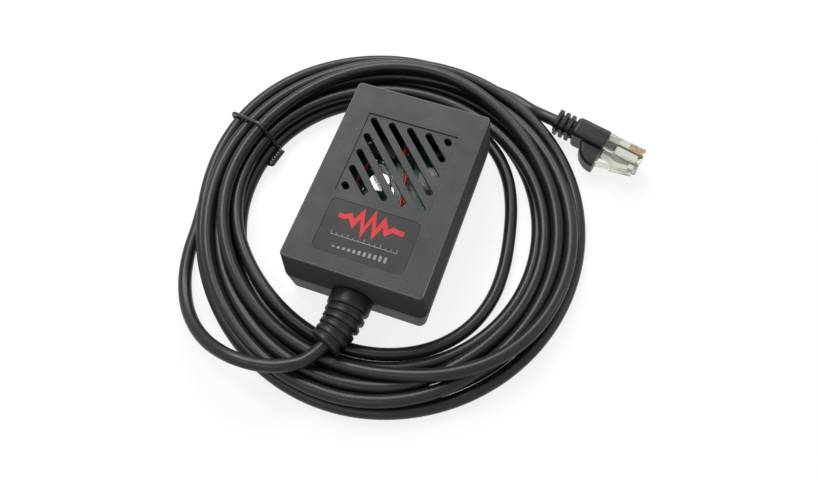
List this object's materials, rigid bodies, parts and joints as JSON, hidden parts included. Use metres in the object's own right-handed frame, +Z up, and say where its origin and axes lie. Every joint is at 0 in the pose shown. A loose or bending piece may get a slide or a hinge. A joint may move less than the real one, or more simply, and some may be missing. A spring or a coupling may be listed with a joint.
{
  "type": "vibration sensor",
  "caption": "Wired vibration sensor in a small box case with a slotted cover panel, label place and ribbed strain relief; its coiled cable ends in a modular plug with a boot.",
  "frame": {"origin": "middle of the case's underside, on the surface it stands on", "axes": "+Z up through the slotted cover, +Y along the case away from the cable, which leaves towards -Y, and +X to the right when looking down on it with the cable nearest"},
  "size_m": [0.156, 0.1456, 0.027],
  "materials": {
    "case_plastic": "fine-textured",
    "label_film": "satin",
    "boot_rubber": "satin",
    "cable_jacket": "satin",
    "screw_steel": "zinc plated",
    "board_laminate": "solder mask",
    "switch_can": "drawn",
    "capacitor_sleeve": "glossy",
    "chip_epoxy": "matt",
    "resistor_body": "lacquered",
    "hot_glue": "wavy",
    "red_insulation": "satin",
    "orange_insulation": "satin",
    "black_insulation": "satin",
    "tie_wire": "satin",
    "clear_plastic": "clear",
    "contact_gold": "plated",
    "lead_insulation": "satin"
  },
  "bodies": {
    "root": {"top_cover": "case_plastic", "base_shell": "case_plastic", "cover_screws": "screw_steel", "label_plate": "label_film", "cable_boot": "boot_rubber", "cable_tail": "cable_jacket", "circuit_board": "board_laminate", "board_screws": "screw_steel", "vibration_switch": "switch_can", "filter_capacitor": "capacitor_sleeve", "logic_chip": "chip_epoxy", "resistors": "resistor_body", "glue_bead": "hot_glue", "red_wires": "red_insulation", "orange_wire": "orange_insulation", "black_wire": "black_insulation", "cable_lead_in": "cable_jacket", "cable_coil": "cable_jacket", "cable_lead_out": "cable_jacket", "coil_tie": "tie_wire", "plug_body": "clear_plastic", "plug_contacts": "contact_gold", "plug_leads": "lead_insulation", "plug_sheath": "cable_jacket", "plug_boot": "boot_rubber"}
  },
  "joints": []
}
